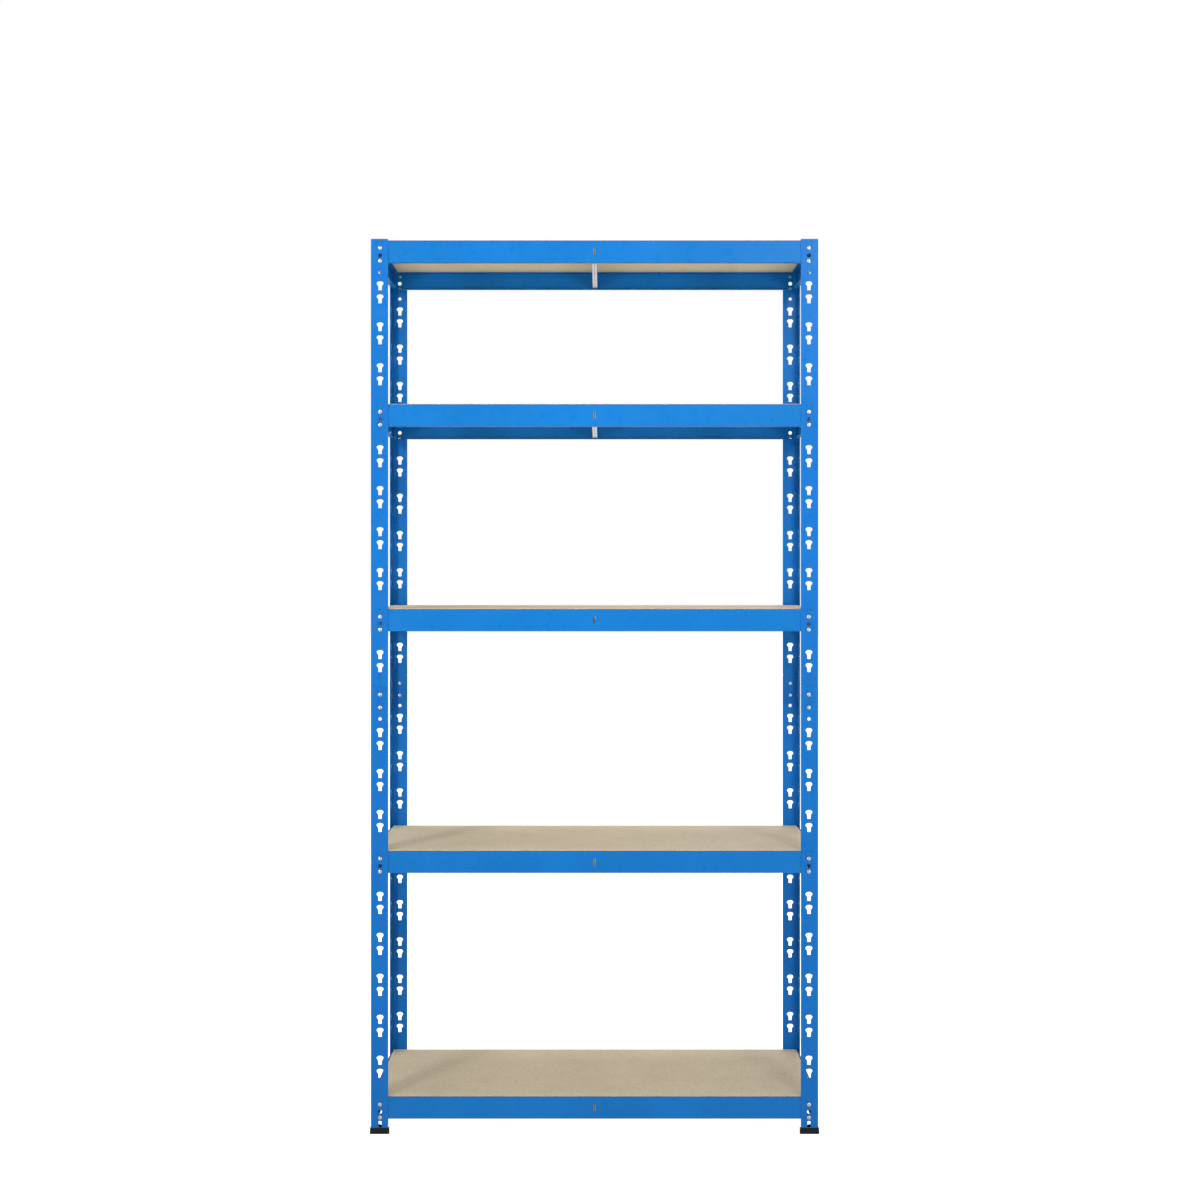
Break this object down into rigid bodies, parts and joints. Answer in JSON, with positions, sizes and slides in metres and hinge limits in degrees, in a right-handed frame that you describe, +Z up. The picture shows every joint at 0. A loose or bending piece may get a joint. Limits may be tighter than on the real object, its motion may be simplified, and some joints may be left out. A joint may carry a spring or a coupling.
{
  "type": "boltless shelving unit",
  "caption": "Free-standing boltless steel shelving with L-section keyhole uprights, hooked step beams, tie bars and lift-off boards on five tiers.",
  "frame": {"origin": "on the floor, under the middle of the unit's overall box", "axes": "+Z up, +X to the right of someone who faces the front, +Y from the front to the back"},
  "size_m": [0.904, 0.404, 1.8],
  "materials": {
    "upright_paint": "satin blue powder coat",
    "beam_paint": "satin blue powder coat",
    "galvanised": "bright zinc",
    "board": "raw fibreboard, light tan",
    "foot_plastic": "matt black"
  },
  "bodies": {
    "frame": {"upright_front_left_lower": "upright_paint", "upright_front_left_upper": "upright_paint", "upright_front_right_lower": "upright_paint", "upright_front_right_upper": "upright_paint", "upright_back_right_lower": "upright_paint", "upright_back_right_upper": "upright_paint", "upright_back_left_lower": "upright_paint", "upright_back_left_upper": "upright_paint", "splice_front_left": "upright_paint", "splice_front_right": "upright_paint", "splice_back_right": "upright_paint", "splice_back_left": "upright_paint", "foot_front_left": "foot_plastic", "foot_front_right": "foot_plastic", "foot_back_right": "foot_plastic", "foot_back_left": "foot_plastic"},
    "tier_1": {"front_beam_1": "beam_paint", "back_beam_1": "beam_paint", "left_beam_1": "beam_paint", "right_beam_1": "beam_paint", "tie_bar_1": "galvanised"},
    "shelf_1": {"board_1": "board"},
    "tier_2": {"front_beam_2": "beam_paint", "back_beam_2": "beam_paint", "left_beam_2": "beam_paint", "right_beam_2": "beam_paint", "tie_bar_2": "galvanised"},
    "shelf_2": {"board_2": "board"},
    "tier_3": {"front_beam_3": "beam_paint", "back_beam_3": "beam_paint", "left_beam_3": "beam_paint", "right_beam_3": "beam_paint", "tie_bar_3": "galvanised"},
    "shelf_3": {"board_3": "board"},
    "tier_4": {"front_beam_4": "beam_paint", "back_beam_4": "beam_paint", "left_beam_4": "beam_paint", "right_beam_4": "beam_paint", "tie_bar_4": "galvanised"},
    "shelf_4": {"board_4": "board"},
    "tier_5": {"front_beam_5": "beam_paint", "back_beam_5": "beam_paint", "left_beam_5": "beam_paint", "right_beam_5": "beam_paint", "tie_bar_5": "galvanised"},
    "shelf_5": {"board_5": "board"}
  },
  "joints": [
    {"name": "tier_1_unhook", "type": "slide", "parent": "frame", "child": "tier_1", "axis": [0, 0, 1], "range_m": [0, 0.0105]},
    {"name": "board_1_lift", "type": "slide", "parent": "tier_1", "child": "shelf_1", "axis": [0, 0, 1], "range_m": [0, 0.436]},
    {"name": "tier_2_unhook", "type": "slide", "parent": "frame", "child": "tier_2", "axis": [0, 0, 1], "range_m": [0, 0.0105]},
    {"name": "board_2_lift", "type": "slide", "parent": "tier_2", "child": "shelf_2", "axis": [0, 0, 1], "range_m": [0, 0.428]},
    {"name": "tier_3_unhook", "type": "slide", "parent": "frame", "child": "tier_3", "axis": [0, 0, 1], "range_m": [0, 0.0105]},
    {"name": "board_3_lift", "type": "slide", "parent": "tier_3", "child": "shelf_3", "axis": [0, 0, 1], "range_m": [0, 0.353]},
    {"name": "tier_4_unhook", "type": "slide", "parent": "frame", "child": "tier_4", "axis": [0, 0, 1], "range_m": [0, 0.0105]},
    {"name": "board_4_lift", "type": "slide", "parent": "tier_4", "child": "shelf_4", "axis": [0, 0, 1], "range_m": [0, 0.271]},
    {"name": "tier_5_unhook", "type": "slide", "parent": "frame", "child": "tier_5", "axis": [0, 0, 1], "range_m": [0, 0.0105]},
    {"name": "board_5_lift", "type": "slide", "parent": "tier_5", "child": "shelf_5", "axis": [0, 0, 1], "range_m": [0, 0.3]}
  ]
}
